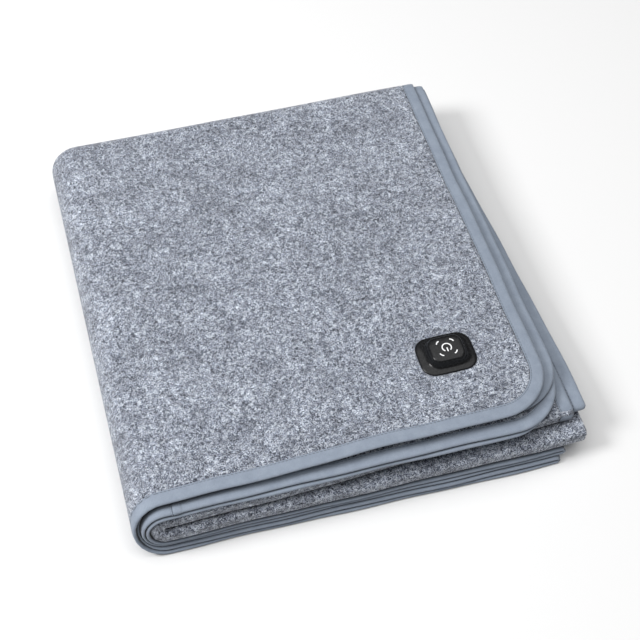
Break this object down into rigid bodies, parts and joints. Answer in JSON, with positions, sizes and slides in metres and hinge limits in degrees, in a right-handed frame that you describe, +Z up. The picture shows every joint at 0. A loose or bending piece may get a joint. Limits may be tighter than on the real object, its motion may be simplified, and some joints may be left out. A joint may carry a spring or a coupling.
{
  "type": "heated throw blanket",
  "caption": "Folded grey felt heated throw with bound edges and a soft square push-button controller near one front corner.",
  "frame": {"origin": "middle of the underside of the folded stack", "axes": "+X towards the right-hand bound edges, +Y towards the back fold, +Z up; the front edges face -Y"},
  "size_m": [0.36, 0.392, 0.0622],
  "materials": {
    "felt": "heather grey needled felt",
    "tape": "woven blue-grey binding tape",
    "soft_rubber": "satin black silicone",
    "sign": "white print",
    "case": "moulded black plastic",
    "film": "matt carbon-coated film",
    "lead": "tinned copper foil",
    "board": "solder-masked board",
    "chip": "moulded epoxy",
    "light": "clear epoxy over white",
    "steel": "zinc-plated steel",
    "ceramic": "ceramic",
    "plunger": "moulded plastic"
  },
  "bodies": {
    "throw": {"face_felt": "felt", "back_felt": "felt", "binding_tape": "tape", "heating_film_1": "film", "heating_film_2": "film", "heating_film_3": "film", "heating_film_4": "film", "heating_film_5": "film", "heating_film_6": "film", "heating_film_7": "film", "heating_film_8": "film", "back_fold_lead_1": "lead", "front_fold_lead_1": "lead", "back_fold_lead_2": "lead", "front_fold_lead_2": "lead", "back_fold_lead_3": "lead", "front_fold_lead_3": "lead", "back_fold_lead_4": "lead", "front_fold_lead_4": "lead", "cross_feed": "lead", "button_lead": "lead", "button_skirt": "soft_rubber", "switch_housing": "case", "rear_cover": "case", "power_socket": "steel", "cover_screw_1": "steel", "cover_screw_2": "steel", "cover_screw_3": "steel", "cover_screw_4": "steel", "circuit_board": "board", "switch_body": "chip", "control_chip": "chip", "power_switch_chip": "chip", "smoothing_capacitor": "ceramic", "heater_terminal": "ceramic", "level_light_1": "light", "level_light_2": "light", "level_light_3": "light", "level_light_4": "light", "temperature_sensor": "chip", "thermal_cutout": "steel"},
    "button": {"button_cap": "soft_rubber", "power_ring": "sign", "power_bar": "sign", "corner_arc_1": "sign", "corner_arc_2": "sign", "corner_arc_3": "sign", "corner_arc_4": "sign"},
    "plunger": {"switch_plunger": "plunger"}
  },
  "joints": [
    {"name": "button_press", "type": "slide", "parent": "throw", "child": "button", "axis": [0, 0, -1], "range_m": [0, 0.0008], "stiffness_N_per_m": 900},
    {"name": "plunger_press", "type": "slide", "parent": "throw", "child": "plunger", "axis": [0, 0, -1], "range_m": [0, 0.0008]}
  ],
  "couplings": [
    {"joint": "plunger_press", "follows": "button_press", "ratio": 1}
  ]
}
